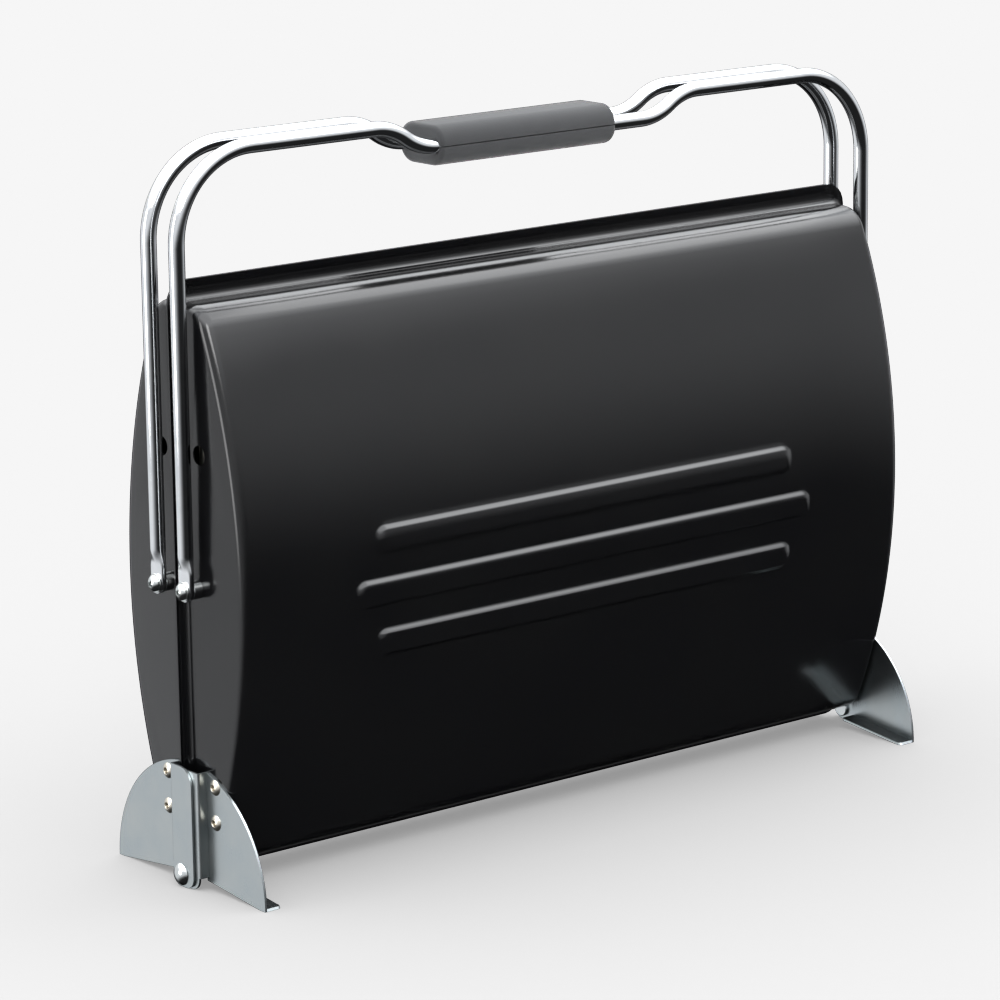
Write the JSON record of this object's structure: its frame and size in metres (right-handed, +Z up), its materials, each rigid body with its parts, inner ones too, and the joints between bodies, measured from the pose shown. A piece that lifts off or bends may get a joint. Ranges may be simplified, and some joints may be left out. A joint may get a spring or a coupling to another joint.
{
  "type": "folding camp grill",
  "caption": "Suitcase-style folding charcoal grill: black pressed half trays hinged at the base, quarter-round leg plates, wire carrying handles joined by a soft grip.",
  "frame": {"origin": "middle of the folded case at ground level, under the hinge", "axes": "+X along the case's length, +Y from the front half to the rear half, +Z up"},
  "size_m": [0.4778, 0.128, 0.381],
  "materials": {
    "black_enamel": "gloss",
    "zinc_plate": "satin",
    "rivet_steel": "satin",
    "fastener_zinc": "semi-gloss",
    "grid_chrome": "polished",
    "clip_steel": "satin",
    "handle_chrome": "polished",
    "grip_foam": "matte"
  },
  "bodies": {
    "hinge": {"hinge_rivet_left": "fastener_zinc", "hinge_rivet_right": "fastener_zinc"},
    "front_half": {"front_shell": "black_enamel", "front_leg_left": "zinc_plate", "front_leg_right": "zinc_plate", "front_leg_rivets": "rivet_steel", "front_handle_screws": "fastener_zinc", "front_handle_washers": "fastener_zinc", "front_handle_nuts": "fastener_zinc", "front_charcoal_grate": "grid_chrome", "front_cooking_grid": "grid_chrome", "front_grid_clips": "clip_steel"},
    "rear_half": {"rear_shell": "black_enamel", "rear_leg_left": "zinc_plate", "rear_leg_right": "zinc_plate", "rear_leg_rivets": "rivet_steel", "rear_handle_screws": "fastener_zinc", "rear_handle_washers": "fastener_zinc", "rear_handle_nuts": "fastener_zinc", "rear_charcoal_grate": "grid_chrome", "rear_cooking_grid": "grid_chrome", "rear_grid_clips": "clip_steel"},
    "front_handle": {"front_handle": "handle_chrome"},
    "rear_handle": {"rear_handle": "handle_chrome", "handle_grip": "grip_foam"}
  },
  "joints": [
    {"name": "front_open", "type": "hinge", "parent": "hinge", "child": "front_half", "pos_m": [0, -0.0015, 0.0063], "axis": [1, 0, 0], "range_deg": [0, 83.5]},
    {"name": "rear_open", "type": "hinge", "parent": "hinge", "child": "rear_half", "pos_m": [0, -0.0015, 0.0063], "axis": [-1, 0, 0], "range_deg": [0, 83.5]},
    {"name": "front_handle_swing", "type": "hinge", "parent": "front_half", "child": "front_handle", "pos_m": [0, -0.012, 0.157], "axis": [1, 0, 0], "range_deg": [0, 100]},
    {"name": "rear_handle_swing", "type": "hinge", "parent": "rear_half", "child": "rear_handle", "pos_m": [0, 0.012, 0.157], "axis": [-1, 0, 0], "range_deg": [0, 100]}
  ],
  "couplings": [
    {"joint": "rear_open", "follows": "front_open", "ratio": 1}
  ]
}
